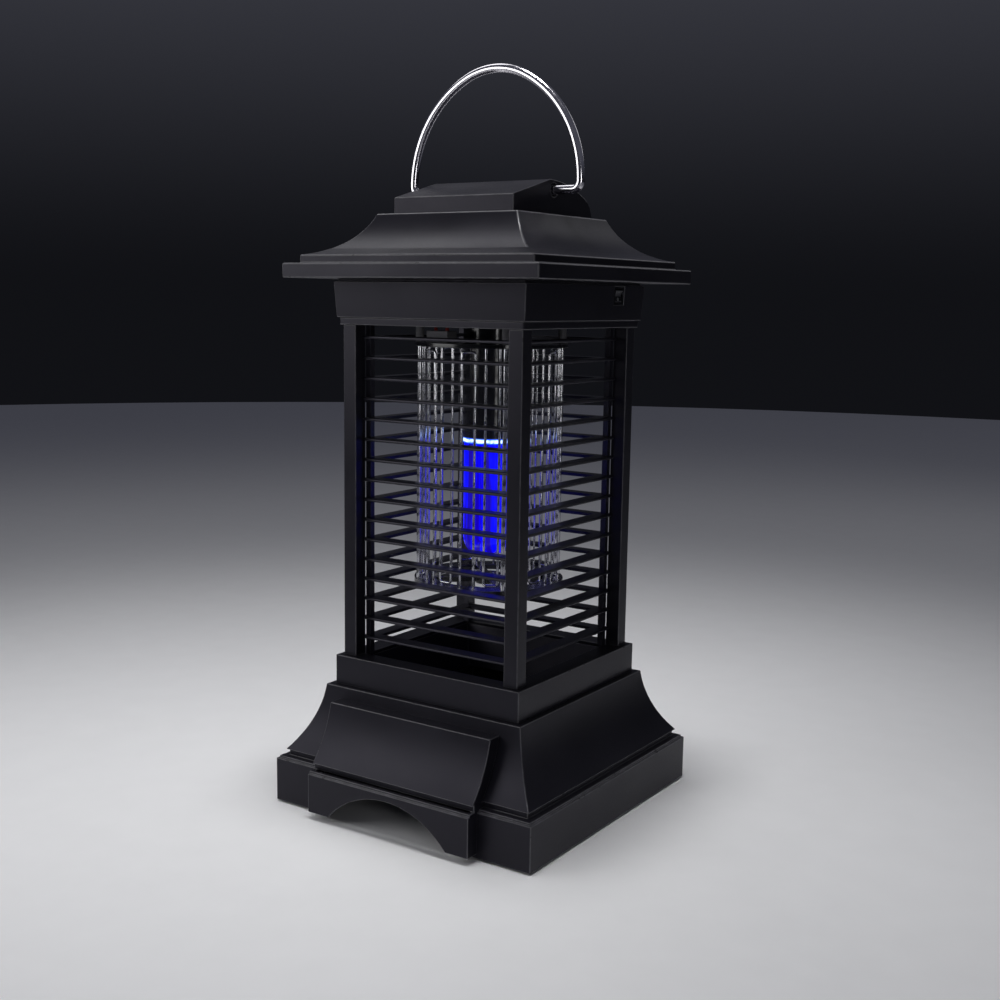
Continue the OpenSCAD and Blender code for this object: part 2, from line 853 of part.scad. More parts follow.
// Each bush has a flange inside the block's wall, flat on top under the block's skin
module pivot_bushes() color([0.13, 0.13, 0.14]) on_axis() difference() {
    union() {
        for (s = [0, 180]) translate([0, 0, pivot_z]) rotate([0, 0, s]) {
            rod_x(pivot_hole_r - 0.05, cap_half - wall - bush_flange_thick, cap_half - 0.8);
        }
        intersection() {
            for (s = [0, 180]) translate([0, 0, pivot_z]) rotate([0, 0, s]) {
                rod_x(bush_flange_r, cap_half - wall - bush_flange_thick, cap_half - wall);
            }
            along_x(2 * cap_half) cap_profile(cap_skin + 0.1);
        }
    }
    translate([0, 0, pivot_z]) rod_x(bush_bore_r, -cap_half, cap_half);
}

// ---- Bail ----

// Part of a torus in the XZ plane, from one angle to another above +X
module bail_arc(centre, radius, from, to, wire_r) {
    translate([centre.x, 0, centre.y]) rotate([90, 0, 0]) rotate([0, 0, from]) {
        rotate_extrude(angle = to - from, $fn = 96) {
            translate([radius, 0]) circle(r = wire_r, $fn = 32);
        }
    }
}

// A shoulder arc, the bend at its foot, and the end that lies in the pivot
module bail_side() {
    wire_r = bail_wire_d / 2;
    bend_x = bail_half - bail_bend;
    bail_arc([bail_half - shoulder_radius, shoulder_z], shoulder_radius, 0, 90 - bail_top_angle,
        wire_r);
    bail_arc([bend_x, shoulder_z], bail_bend, -90, 0, wire_r);
    translate([0, 0, pivot_z]) rod_x(wire_r, bail_end_x, bend_x);
}

// The top arc is a hair thinner, and its ends lie inside the shoulders
module bail_handle() color(chrome_plate) on_axis() {
    top_half = bail_top_angle + bail_overlap;
    bail_arc([0, bail_apex - bail_top_radius], bail_top_radius, 90 - top_half, 90 + top_half,
        bail_wire_d / 2 - eps);
    bail_side();
    rotate([0, 0, 180]) bail_side();
}

module bail_collars() color(bright_steel) on_axis() for (s = [0, 180]) {
    translate([0, 0, pivot_z]) rotate([0, 0, s]) difference() {
        rod_x(collar_ring_r, bail_end_x + 0.2, bail_end_x + 0.2 + collar_ring_thick);
        rod_x(bail_wire_d / 2, bail_end_x - 1, bail_end_x + 4);
    }
}

// ---- Electrics in the head ----

module at_board_corners() {
    for (sx = [-1, 1], sy = [-1, 1]) {
        translate([sx * board_hole_reach.x, board_middle_y + sy * board_hole_reach.y, 0]) children();
    }
}

// A block that starts at x, with its middle at a distance behind the board's middle line
module board_block(x, behind, z, size) {
    translate([x, board_middle_y + behind - size.y / 2, z]) cube(size);
}

module circuit_board() color([0.05, 0.30, 0.12]) on_axis() difference() {
    board_block(-board_size.x / 2, 0, board_z, board_size);
    at_board_corners() rod(board_hole_r, board_z - 1, board_top + 1);
}

module board_parts() color([0.75, 0.55, 0.25]) on_axis() {
    at_board_corners() rod(board_post_r, ceiling_top, board_z);
    board_block(relay_x, 0, board_top, relay_size);
    for (x = capacitor_x) {
        translate([x, board_middle_y + 6, 0]) {
            rod(capacitor_r, board_top, board_top + capacitor_height);
        }
    }
    for (x = chip_x) board_block(x, -6.5, board_top, chip_size);
}

module transformer() color([0.5, 0.35, 0.15]) on_axis() {
    winding_z = board_top + bobbin_size.z - eps;
    board_block(bobbin_x, 0, board_top, bobbin_size);
    board_block(bobbin_x + 3, 0, winding_z, winding_size);
    board_block(bobbin_x, 0, winding_z + winding_size.z - eps, bobbin_size - [0, 0, 0.5]);
}

module battery_cells() color([0.15, 0.35, 0.65]) on_axis() for (y = cell_y) {
    translate([0, y, ceiling_top + cradle_floor + cell_r]) {
        rod_x(cell_r, cell_start, cell_start + cell_length);
        rod_x(cell_button_r, cell_start + cell_length - eps,
            cell_start + cell_length + cell_button_length);
    }
}

module battery_cradle() color(black_plastic) on_axis() difference() {
    translate([cell_start - cradle_wall, cradle_start_y, ceiling_top]) {
        cube([cell_length + 2 * cradle_wall + 1.5, cradle_width, cradle_floor + cell_r - 1]);
    }
    for (y = cell_y) translate([0, y, ceiling_top + cradle_floor + cell_r]) {
        rod_x(cell_r + 0.1, cell_start - 0.1, cell_start + cell_length + 1.4);
    }
}

module at_rocker_pivot() translate([rocker_pivot_x, switch_y, switch_z]) children();

module rocker_pin(r, length) rotate([90, 0, 0]) cylinder(r = r, h = length, center = true);

// Housing of the rocker switch, open towards +X
module switch_body() color([0.09, 0.09, 0.10]) on_axis() {
    outer = switch_hole - [0.2, 0.2];
    inner = rocker_size + [0.6, 0.6];
    at_rocker_pivot() difference() {
        translate([-switch_depth, -outer.x / 2, -outer.y / 2]) {
            cube([switch_depth + switch_bezel, outer.x, outer.y]);
        }
        translate([-switch_well, -inner.x / 2, -inner.y / 2]) cube([beyond, inner.x, inner.y]);
        rocker_pin(rocker_pin_r + 0.05, rocker_pin_length + 0.1);
    }
}

// The rocker's side view: a round back, and a dished face that a finger presses
module rocker_profile() {
    intersection() {
        translate([-rocker_back, 0.25 - rocker_size.y / 2]) square(rocker_size.y - 0.5);
        difference() {
            circle(r = rocker_size.y / 2 + 0.1);
            translate([rocker_dish_x, 0]) circle(r = rocker_dish_r);
        }
    }
}

// The rocker turns about an axis along Y, and rests with its lower half pressed in
module switch_rocker() color([0.12, 0.12, 0.13]) on_axis() at_rocker_pivot() {
    rotate([0, rocker_tilt, 0]) rotate([90, 0, 0]) {
        linear_extrude(height = rocker_size.x, center = true) rocker_profile();
    }
    rocker_pin(rocker_pin_r, rocker_pin_length);
}

// A barrel socket: its rim in the band's rear face, its body inside, and its centre pin
module charge_socket() color([0.10, 0.10, 0.11]) on_axis() {
    translate([socket_x, band_foot_half, socket_z]) rotate([90, 0, 0]) {
        difference() {
            union() {
                rod(socket_hole_r, -socket_rim, wall);
                rod(socket_body_r, wall, socket_depth + wall);
            }
            rod(socket_bore_r, -beyond, socket_depth);
        }
        rod(socket_pin_r, socket_rim, socket_depth + 1);
    }
}

rubber_feet();
base_plate();
base_screws();
plinth();
base_flare();
cage_collar();
debris_funnel();
tray_front();
tray_bin();
tray_screws();
corner_posts();
tie_rods();
louvre_front();
louvre_back();
louvre_left();
louvre_right();
ceiling_plate();
head_band();
soffit_plate();
soffit_screws();
roof_shell();
cap_block();
cap_screws();
pivot_bushes();
bail_handle();
bail_collars();
upper_carrier();
lower_carrier();
carrier_rods();
carrier_spacers();
rod_nuts();
live_grid();
return_grid();
terminal_block();
grid_leads();
lamp_holder();
lamp_collar();
lamp_tubes();
circuit_board();
board_parts();
transformer();
battery_cells();
battery_cradle();
switch_body();
switch_rocker();
charge_socket();
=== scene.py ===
"""Looks of a lantern-shaped electric bug zapper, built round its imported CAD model.

Metres, +Z up, the debris tray faces -Y. The CAD nodes keep their shape and get rounded arrises and
procedural finishes. The wire grids, the bail, the screws and the rocker's marks are built here.
"""

import json
import math

import bmesh
import bpy
from mathutils import Matrix, Vector


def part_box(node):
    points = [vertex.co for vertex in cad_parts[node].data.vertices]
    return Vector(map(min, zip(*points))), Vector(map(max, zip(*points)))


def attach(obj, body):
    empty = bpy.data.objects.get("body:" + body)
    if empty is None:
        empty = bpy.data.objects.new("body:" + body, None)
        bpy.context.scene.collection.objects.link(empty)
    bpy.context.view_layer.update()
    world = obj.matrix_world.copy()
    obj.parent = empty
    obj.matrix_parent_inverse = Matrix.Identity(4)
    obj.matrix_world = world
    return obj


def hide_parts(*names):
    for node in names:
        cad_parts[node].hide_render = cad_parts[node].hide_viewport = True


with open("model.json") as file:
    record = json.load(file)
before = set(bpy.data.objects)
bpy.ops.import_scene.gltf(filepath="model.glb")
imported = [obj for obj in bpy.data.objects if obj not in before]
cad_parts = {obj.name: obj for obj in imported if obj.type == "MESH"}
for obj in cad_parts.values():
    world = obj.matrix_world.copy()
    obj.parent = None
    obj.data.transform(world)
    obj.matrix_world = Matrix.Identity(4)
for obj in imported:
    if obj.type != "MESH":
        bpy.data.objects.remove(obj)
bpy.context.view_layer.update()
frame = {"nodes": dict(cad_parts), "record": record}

MM = 0.001


def middle(node):
    """The middle of a CAD node's box."""
    low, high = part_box(node)
    return (low + high) / 2


AXIS_Y = middle("plinth").y


# ---- Camera, light and floor ----

# The camera's place and lens were solved from the corners of the object in the photograph
CAMERA_AZIMUTH = math.radians(33.778)
CAMERA_ELEVATION = math.radians(8.716)
CAMERA_ROLL = math.radians(0.852)
CAMERA_DISTANCE = 0.790
CAMERA_LENS = 47.63
AIM_HEIGHT = 0.1804
AIM_SIDE = 0.00615

# Azimuth, elevation and distance from the object, then size, power and spread in degrees
LIGHTS = {
    "left_light": (-112, 55, 1.3, (0.6, 0.7), 2.1, 180),
    "front_light": (-41, 18, 0.69, (0.5, 0.38), 1.35, 180),
    "top_light": (20, 86, 1.3, (0.35, 0.35), 1.3, 55),
    "back_light": (168, 30, 1.5, (0.5, 0.5), 0.55, 180),
    "corner_light": (54, 6, 1.3, (0.2, 0.5), 1.3, 180),
}

# The sky is dark at the horizon and reaches its full colour at this share of the way up
HORIZON_COLOUR = (0.0055, 0.0058, 0.0075, 1)
SKY_COLOUR = (0.058, 0.060, 0.076, 1)
SKY_FULL = 0.40

FLOOR_RADIUS = 3.0


def direction(azimuth, elevation):
    """Unit vector from the object to a viewer; azimuth 0 is in front, at -Y."""
    flat = math.cos(elevation)
    return Vector((math.sin(azimuth) * flat, -math.cos(azimuth) * flat, math.sin(elevation)))


def add_camera():
    """The camera looks along the photograph's direction, rolled a little to its right."""
    back = direction(CAMERA_AZIMUTH, CAMERA_ELEVATION)
    right = Vector((math.cos(CAMERA_AZIMUTH), math.sin(CAMERA_AZIMUTH), 0))
    up = back.cross(right)
    side = math.cos(CAMERA_ROLL) * right + math.sin(CAMERA_ROLL) * up
    top = back.cross(side)
    data = bpy.data.cameras.new("camera")
    data.lens = CAMERA_LENS
    data.clip_start = 0.01
    camera = bpy.data.objects.new("camera", data)
    bpy.context.scene.collection.objects.link(camera)
    place = Vector((0, AXIS_Y, AIM_HEIGHT)) + right * AIM_SIDE + back * CAMERA_DISTANCE
    camera.matrix_world = Matrix.Translation(place) @ Matrix((side, top, back)).transposed().to_4x4()
    bpy.context.scene.camera = camera


def add_softbox(name, azimuth, elevation, distance, size, power, spread):
    """An area light that faces the middle of the object; a narrow spread lights a pool."""
    data = bpy.data.lights.new(name, "AREA")
    data.shape = "RECTANGLE"
    data.size, data.size_y = size
    data.energy = power
    data.spread = math.radians(spread)
    lamp = bpy.data.objects.new(name, data)
    lamp.visible_camera = False
    bpy.context.scene.collection.objects.link(lamp)
    back = direction(math.radians(azimuth), math.radians(elevation))
    target = Vector((0, AXIS_Y, 0.2))
    lamp.matrix_world = (
        Matrix.Translation(target + back * distance) @ back.to_track_quat("Z", "Y").to_matrix().to_4x4()
    )


def add_lights():
    for name, settings in LIGHTS.items():
        add_softbox(name, *settings)


def set_world():
    """A studio that is dark at the horizon and light overhead."""
    world = bpy.data.worlds.new("studio")
    world.use_nodes = True
    tree = world.node_tree
    background = tree.nodes["Background"]
    place = tree.nodes.new("ShaderNodeTexCoord")
    split = tree.nodes.new("ShaderNodeSeparateXYZ")
    rise = tree.nodes.new("ShaderNodeMapRange")
    colour = tree.nodes.new("ShaderNodeMix")
    rise.interpolation_type = "SMOOTHSTEP"
    rise.inputs["From Max"].default_value = SKY_FULL
    colour.data_type = "RGBA"
    # Inputs 6 and 7 and output 2 are this node's colour sockets
    colour.inputs[6].default_value = HORIZON_COLOUR
    colour.inputs[7].default_value = SKY_COLOUR
    tree.links.new(place.outputs["Generated"], split.inputs[0])
    tree.links.new(split.outputs["Z"], rise.inputs["Value"])
    tree.links.new(rise.outputs[0], colour.inputs["Factor"])
    tree.links.new(colour.outputs[2], background.inputs["Color"])
    bpy.context.scene.world = world
    bpy.context.scene.view_settings.view_transform = "Standard"


# ---- Material building blocks ----


class Finish:
    """A Principled material whose node tree is built by short calls."""

    def __init__(self, name, **sockets):
        self.material = bpy.data.materials.new(name)
        self.material.use_nodes = True
        self.tree = self.material.node_tree
        self.shader = self.tree.nodes["Principled BSDF"]
        for socket, value in sockets.items():
            self.shader.inputs[socket.replace("_", " ")].default_value = value
        self.place = self.tree.nodes.new("ShaderNodeTexCoord").outputs["Object"]

    def node(self, kind, **settings):
        made = self.tree.nodes.new(kind)
        for key, value in settings.items():
            setattr(made, key, value)
        return made

    def feed(self, socket, source):
        """Links an output to an input, or sets the input's value."""
        if isinstance(source, bpy.types.NodeSocket):
            self.tree.links.new(source, socket)
        else:
            socket.default_value = source

    def stretched(self, scale):
        """The object's coordinates, scaled along each axis."""
        made = self.node("ShaderNodeMapping")
        self.feed(made.inputs["Vector"], self.place)
        made.inputs["Scale"].default_value = scale
        return made.outputs[0]

    def noise(self, scale, detail=2.0, roughness=0.5, place=None):
        made = self.node("ShaderNodeTexNoise")
        self.feed(made.inputs["Vector"], place or self.place)
        made.inputs["Scale"].default_value = scale
        made.inputs["Detail"].default_value = detail
        made.inputs["Roughness"].default_value = roughness
        return made.outputs["Fac"]

    def cells(self, scale, feature="F1"):
        made = self.node("ShaderNodeTexVoronoi", feature=feature)
        self.feed(made.inputs["Vector"], self.place)
        made.inputs["Scale"].default_value = scale
        return made.outputs["Distance"]

    def spread(self, value, low, high, to_low, to_high):
        """Maps a value from one range to another, clamped."""
        made = self.node("ShaderNodeMapRange")
        for socket, number in zip(made.inputs, (value, low, high, to_low, to_high)):
            self.feed(socket, number)
        return made.outputs[0]

    def maths(self, operation, first, second):
        made = self.node("ShaderNodeMath", operation=operation)
        self.feed(made.inputs[0], first)
        self.feed(made.inputs[1], second)
        return made.outputs[0]

    def blend(self, factor, first, second):
        """A colour between two colours."""
        made = self.node("ShaderNodeMix", data_type="RGBA")
        self.feed(made.inputs["Factor"], factor)
        colour_inputs = [s for s in made.inputs if s.type == "RGBA"]
        for socket, colour in zip(colour_inputs, (first, second)):
            self.feed(socket, (*colour, 1) if isinstance(colour, tuple) else colour)
        return [s for s in made.outputs if s.type == "RGBA"][0]

    def bump(self, height, depth, strength=1.0, under=None):
        made = self.node("ShaderNodeBump")
        made.inputs["Strength"].default_value = strength
        made.inputs["Distance"].default_value = depth
        self.feed(made.inputs["Height"], height)
        if under is not None:
            self.feed(made.inputs["Normal"], under)
        return made.outputs[0]

    def set(self, **sockets):
        for socket, source in sockets.items():
            self.feed(self.shader.inputs[socket.replace("_", " ")], source)
        return self.material


# ---- Materials ----


def moulded_plastic(name, colour, roughness, grain, index=1.36):
    """Black moulded plastic: spark-eroded grain under a cloudy sheen."""
    finish = Finish(name, IOR=index, Specular_Tint=(0.86, 0.83, 1.0, 1))
    cloud = finish.noise(22, detail=3)
    speckle = finish.noise(900, detail=2)
    pale = tuple(c * 1.5 + 0.001 for c in colour)
    tone = finish.blend(finish.spread(cloud, 0.35, 0.7, 0.0, 1.0), colour, pale)
    smudge = finish.spread(cloud, 0.3, 0.72, roughness - 0.04, roughness + 0.06)
    fine = finish.noise(3200, detail=3, roughness=0.6)
    return finish.set(
        Base_Color=tone,
        Roughness=finish.maths("ADD", smudge, finish.spread(speckle, 0.3, 0.7, -0.03, 0.03)),
        Normal=finish.bump(fine, grain, 0.6),
    )


def arris_highlight_plastic(name, colour, roughness):
    """A paler plastic for the arrises: a painted highlight along every rounded edge, in uneven lengths.
    """
    finish = Finish(name, IOR=1.5)
    # This noise sets where the painted arris highlight is brighter and where it is dimmer
    highlight_patches = finish.noise(160, detail=3)
    dark = tuple(c * 0.45 for c in colour)
    return finish.set(
        Base_Color=finish.blend(finish.spread(highlight_patches, 0.3, 0.7, 0.0, 1.0), dark, colour),
        Roughness=finish.spread(highlight_patches, 0.3, 0.7, roughness - 0.05, roughness + 0.05),
        Normal=finish.bump(finish.noise(2400), 0.01 * MM, 0.4),
    )


def gloss_plastic(name, colour, roughness):
    """Smooth moulded plastic with faint flow waves and dust."""
    finish = Finish(name, IOR=1.5, Coat_Weight=0.25, Coat_Roughness=0.12)
    wave = finish.noise(60, place=finish.stretched((1, 1, 0.3)))
    dust = finish.noise(2600, detail=2)
    pale = tuple(c * 1.8 + 0.004 for c in colour)
    return finish.set(
        Base_Color=finish.blend(finish.spread(dust, 0.6, 0.75, 0.0, 1.0), colour, pale),
        Roughness=finish.spread(wave, 0.3, 0.7, roughness - 0.03, roughness + 0.05),
        Normal=finish.bump(wave, 0.05 * MM, 0.5),
    )


def polished_metal(name, colour, roughness, scratch_scale):
    """Plated or drawn metal: fine scratches along the wire and a slightly uneven shine."""
    finish = Finish(name, Metallic=1.0)
    scratch = finish.noise(scratch_scale, detail=3, place=finish.stretched((1, 1, 0.12)))
    haze = finish.noise(70, detail=2)
    dull = tuple(c * 0.82 for c in colour)
    return finish.set(
        Base_Color=finish.blend(finish.spread(haze, 0.35, 0.7, 0.0, 1.0), colour, dull),
        Roughness=finish.spread(scratch, 0.3, 0.7, roughness * 0.7, roughness * 1.5),
        Normal=finish.bump(scratch, 0.01 * MM, 0.35),
    )


def drawn_wire(name, colour):
    """Bright wire that was straightened by hand: its shine wanders from side to side."""
    finish = Finish(name, Metallic=1.0)
    wander = finish.noise(130, detail=0)
    scratch = finish.noise(1400, detail=2, place=finish.stretched((1, 1, 0.2)))
    dull = tuple(c * 0.75 for c in colour)
    return finish.set(
        Base_Color=finish.blend(finish.spread(scratch, 0.35, 0.7, 0.0, 1.0), colour, dull),
        Roughness=finish.spread(scratch, 0.3, 0.7, 0.12, 0.22),
        Normal=finish.bump(wander, 0.3 * MM, 0.6),
    )


def height_band(finish, low, high):
    """From 0 at two heights to 1 halfway between them."""
    split = finish.node("ShaderNodeSeparateXYZ")
    finish.feed(split.inputs[0], finish.place)
    rise = finish.spread(split.outputs["Z"], low, high, -1.0, 1.0)
    return finish.maths("SUBTRACT", 1.0, finish.maths("MULTIPLY", rise, rise))


def glowing_collar(name, node):
    """The lit rim of the lamp: white hot halfway up, blue along both edges."""
    low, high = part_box(node)
    finish = Finish(name, IOR=1.45, Roughness=0.15, Emission_Strength=3.0)
    ripple = finish.noise(420, detail=2)
    patchy = finish.spread(ripple, 0.3, 0.6, 0.6, 1.0)
    glow = finish.maths("MULTIPLY", height_band(finish, low.z, high.z), patchy)
    lit = finish.spread(glow, 0.4, 1.0, 0.0, 1.0)
    return finish.set(
        Base_Color=finish.blend(ripple, (0.02, 0.04, 0.14), (0.05, 0.08, 0.20)),
        Emission_Color=finish.blend(lit, (0.0, 0.03, 0.35), (0.55, 0.78, 1.0)),
        Normal=finish.bump(ripple, 0.02 * MM, 0.3),
    )


def glowing_tube(name, core, skin, strength):
    """A lit lamp tube: bright streaks of discharge between dimmer blue glass."""
    finish = Finish(name, IOR=1.45, Roughness=0.12, Emission_Strength=strength)
    streak = finish.noise(230, detail=2, place=finish.stretched((1, 1, 0.05)))
    glow = finish.blend(finish.spread(streak, 0.46, 0.62, 0.0, 1.0), core, skin)
    return finish.set(
        Base_Color=finish.blend(streak, (0.02, 0.02, 0.10), (0.04, 0.03, 0.16)),
        Emission_Color=glow,
        Normal=finish.bump(streak, 0.02 * MM, 0.3),
    )


def rubbery(name, colour):
    """Matt rubber or wire jacket with a fine grain."""
    finish = Finish(name, IOR=1.45)
    grain = finish.noise(1800, detail=3)
    pale = tuple(c * 1.6 + 0.006 for c in colour)
    return finish.set(
        Base_Color=finish.blend(finish.spread(grain, 0.4, 0.7, 0.0, 1.0), colour, pale),
        Roughness=finish.spread(grain, 0.3, 0.7, 0.62, 0.8),
        Normal=finish.bump(grain, 0.04 * MM, 0.5),
    )


def board_laminate(name):
    """Green solder mask with copper tracks showing through as lighter lines."""
    finish = Finish(name, IOR=1.5, Coat_Weight=0.4)
    tracks = finish.spread(finish.cells(240, "DISTANCE_TO_EDGE"), 0.06, 0.09, 1.0, 0.0)
    weave = finish.noise(1500, detail=1)
    mask = finish.blend(weave, (0.010, 0.075, 0.025), (0.016, 0.100, 0.035))
    return finish.set(
        Base_Color=finish.blend(tracks, mask, (0.05, 0.22, 0.07)),
        Roughness=finish.spread(weave, 0.3, 0.7, 0.3, 0.42),
        Normal=finish.bump(tracks, 0.03 * MM, 0.6),
    )


def wound_part(name, colour, pale):
    """A wound component, banded by its turns."""
    finish = Finish(name, IOR=1.5)
    turns = finish.noise(900, detail=1, place=finish.stretched((0.1, 0.1, 2.0)))
    return finish.set(
        Base_Color=finish.blend(finish.spread(turns, 0.4, 0.6, 0.0, 1.0), colour, pale),
        Roughness=finish.spread(turns, 0.3, 0.7, 0.35, 0.5),
        Normal=finish.bump(turns, 0.06 * MM, 0.6),
    )


BODY_BLACK = (0.0052, 0.0050, 0.0075)
# The louvres' black plastic, lightened over the body's black: a painted highlight standing in for the
# bright slat noses
LOUVRE_BLACK_WITH_PAINTED_HIGHLIGHT = (0.0075, 0.0072, 0.0105)

MATERIALS = {
    "body_plastic": moulded_plastic("body_plastic", BODY_BLACK, 0.40, 0.03 * MM),
    "louvre_plastic": moulded_plastic("louvre_plastic", LOUVRE_BLACK_WITH_PAINTED_HIGHLIGHT, 0.42, 0.02 * MM, 1.5),
    "carrier_plastic": gloss_plastic("carrier_plastic", (0.014, 0.014, 0.018), 0.22),
    "holder_plastic": gloss_plastic("holder_plastic", (0.020, 0.020, 0.026), 0.14),
    "switch_plastic": gloss_plastic("switch_plastic", (0.010, 0.010, 0.012), 0.2),
    "insulator": moulded_plastic("insulator", (0.17, 0.17, 0.18), 0.45, 0.02 * MM),
    "chrome_wire": polished_metal("chrome_wire", (0.92, 0.90, 0.95), 0.14, 500),
    "grid_steel": drawn_wire("grid_steel", (0.90, 0.90, 0.95)),
    "screw_steel": polished_metal("screw_steel", (0.62, 0.62, 0.65), 0.28, 700),
    "lead_jacket": rubbery("lead_jacket", (0.30, 0.02, 0.015)),
    "lamp_glow": glowing_collar("lamp_glow", "lamp_collar"),
    "lamp_glass": glowing_tube("lamp_glass", (0.0, 0.001, 1.0), (0.006, 0.0, 0.30), 1.2),
    "board_laminate": board_laminate("board_laminate"),
    "component": wound_part("component", (0.30, 0.15, 0.04), (0.45, 0.26, 0.09)),
    "cell_wrap": gloss_plastic("cell_wrap", (0.03, 0.10, 0.30), 0.2),
    "rubber": rubbery("rubber", (0.014, 0.014, 0.014)),
}
# Every bevelled arris gets this paler plastic: a painted highlight, dimmer in patches
PAINTED_ARRIS_HIGHLIGHT = arris_highlight_plastic("painted_arris_highlight", (0.075, 0.073, 0.085), 0.32)


# ---- CAD nodes: rounded arrises and finishes ----

EAVE_ARRIS = 0.8 * MM
ARRIS = 0.5 * MM
FINE_ARRIS = 0.2 * MM
WELD_GAP = 0.002 * MM
FLAT_ANGLE = math.radians(0.4)
SHARP_ANGLE = math.radians(35)
ARRIS_OF = {
    "plinth": ARRIS, "base_flare": ARRIS, "cage_collar": ARRIS, "tray_front": ARRIS, "head_band": ARRIS,
    "roof_shell": EAVE_ARRIS, "cap_block": ARRIS, "corner_posts": ARRIS, "ceiling_plate": ARRIS,
    "base_plate": ARRIS, "tray_bin": ARRIS, "soffit_plate": FINE_ARRIS, "debris_funnel": FINE_ARRIS,
    "upper_carrier": FINE_ARRIS, "lower_carrier": FINE_ARRIS, "pivot_bushes": FINE_ARRIS,
    "rubber_feet": FINE_ARRIS, "terminal_block": FINE_ARRIS, "switch_rocker": FINE_ARRIS,
    "lamp_holder": FINE_ARRIS, "carrier_spacers": FINE_ARRIS,
}


def round_arrises(piece, width):
    """Welds the CAD triangles into clean faces, rounds every sharp edge and paints a highlight on the
    rounding.
    """
    weld = piece.modifiers.new("weld", "WELD")
    weld.merge_threshold = WELD_GAP
    flat = piece.modifiers.new("flat", "DECIMATE")
    flat.decimate_type = "DISSOLVE"
    flat.angle_limit = FLAT_ANGLE
    bevel = piece.modifiers.new("arris", "BEVEL")
    bevel.width = width
    bevel.segments = 3
    bevel.limit_method = "ANGLE"
    bevel.angle_limit = SHARP_ANGLE
    bevel.use_clamp_overlap = False
    # The bevel's faces get the paler arris plastic, a painted highlight on every rounded edge
    bevel.material = len(piece.data.materials)
    piece.data.materials.append(PAINTED_ARRIS_HIGHLIGHT)
    bevel.harden_normals = False
    smooth = piece.modifiers.new("smooth", "WEIGHTED_NORMAL")
    smooth.keep_sharp = False


def finish_cad_nodes():
    """Gives every CAD node its slot's finish, and the listed ones rounded arrises."""
    slots = {s["node"]: s["material_slot"] for s in frame["record"]["subparts"]}
    for name, piece in frame["nodes"].items():
        piece.data.materials.clear()
        piece.data.materials.append(MATERIALS[slots[name]])
        if name in ARRIS_OF:
            round_arrises(piece, ARRIS_OF[name])


# ---- Pieces built in detail ----


def add_piece(name, mesh, body, slot, *replaced):
    """A piece that rides on a body, takes a slot's finish and may stand for CAD nodes."""
    piece = bpy.data.objects.new(name, mesh)
    bpy.context.scene.collection.objects.link(piece)
    piece.data.materials.append(MATERIALS[slot])
    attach(piece, body)
    if replaced:
        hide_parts(*replaced)
    return piece


def round_trip(corners, radius, steps=6):
    """The points of an open line whose inner corners are rounded by arcs."""
    points = [corners[0]]
    for before, corner, after in zip(corners, corners[1:], corners[2:]):
        start = corner + (before - corner).normalized() * radius
        end = corner + (after - corner).normalized() * radius
        for step in range(steps + 1):
            t = step / steps
            points.append(start * (1 - t) ** 2 + corner * 2 * t * (1 - t) + end * t ** 2)
    return points + [corners[-1]]


def sweep(shape, points, radius, sides=12):
    """A closed round rod along a line, in a bmesh."""
    rings = []
    side = None
    for index, point in enumerate(points):
        ahead = points[min(index + 1, len(points) - 1)] - points[max(index - 1, 0)]
        ahead.normalize()
        side = ahead.orthogonal() if side is None else side - ahead * side.dot(ahead)
        side.normalize()
        across = ahead.cross(side)
        ring = [
            shape.verts.new(point + radius * (side * math.cos(turn) + across * math.sin(turn)))
            for turn in (math.tau * k / sides for k in range(sides))
        ]
        rings.append(ring)
    for near, far in zip(rings, rings[1:]):
        for k in range(sides):
            n = (k + 1) % sides
            shape.faces.new((near[k], near[n], far[n], far[k]))
    shape.faces.new(reversed(rings[0]))
    shape.faces.new(rings[-1])


def finished_mesh(name, shape):
    """Turns a bmesh into a smooth-shaded mesh with sharp edges past SHARP_ANGLE."""
    bmesh.ops.recalc_face_normals(shape, faces=shape.faces)
    for face in shape.faces:
        face.smooth = True
    for edge in shape.edges:
        edge.smooth = edge.calc_face_angle(0) < SHARP_ANGLE
    mesh = bpy.data.meshes.new(name)
    shape.to_mesh(mesh)
    shape.free()
    return mesh


GRID_RADIUS = 40.2 * MM
HAIRPIN_COUNT = 18
HAIRPIN_HALF_ANGLE = math.radians(5.7)
HAIRPIN_PHASE = math.radians(25.7)
GRID_WIRE_RADIUS = 0.75 * MM
HAIRPIN_BEND = 1.9 * MM


def hairpin_corners(turn, bar_z, end_z):
    """Leg end, two bends and leg end of the hairpin at a turn round the lamp."""
    feet = [
        Vector((math.cos(turn + side), math.sin(turn + side), 0)) * GRID_RADIUS + Vector((0, AXIS_Y, 0))
        for side in (-HAIRPIN_HALF_ANGLE, HAIRPIN_HALF_ANGLE)
    ]
    rise = [Vector((0, 0, z)) for z in (end_z, bar_z)]
    return [feet[0] + rise[0], feet[0] + rise[1], feet[1] + rise[1], feet[1] + rise[0]]


def build_grid(node, first, bar_below):
    """Every second wire hairpin, with its bar at the foot or at the top."""
    low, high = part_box(node)
    ends = (low.z + GRID_WIRE_RADIUS, high.z) if bar_below else (high.z - GRID_WIRE_RADIUS, low.z)
    shape = bmesh.new()
    for index in range(first, HAIRPIN_COUNT, 2):
        turn = HAIRPIN_PHASE + math.tau * index / HAIRPIN_COUNT
        sweep(shape, round_trip(hairpin_corners(turn, *ends), HAIRPIN_BEND), GRID_WIRE_RADIUS)
    add_piece(node + "_wires", finished_mesh(node, shape), "lantern", "grid_steel", node)


BAIL_WIRE_RADIUS = 2.49 * MM
BAIL_TOP_RADIUS = 46.3 * MM
BAIL_BEND = 4.5 * MM
BAIL_END_X = 33 * MM


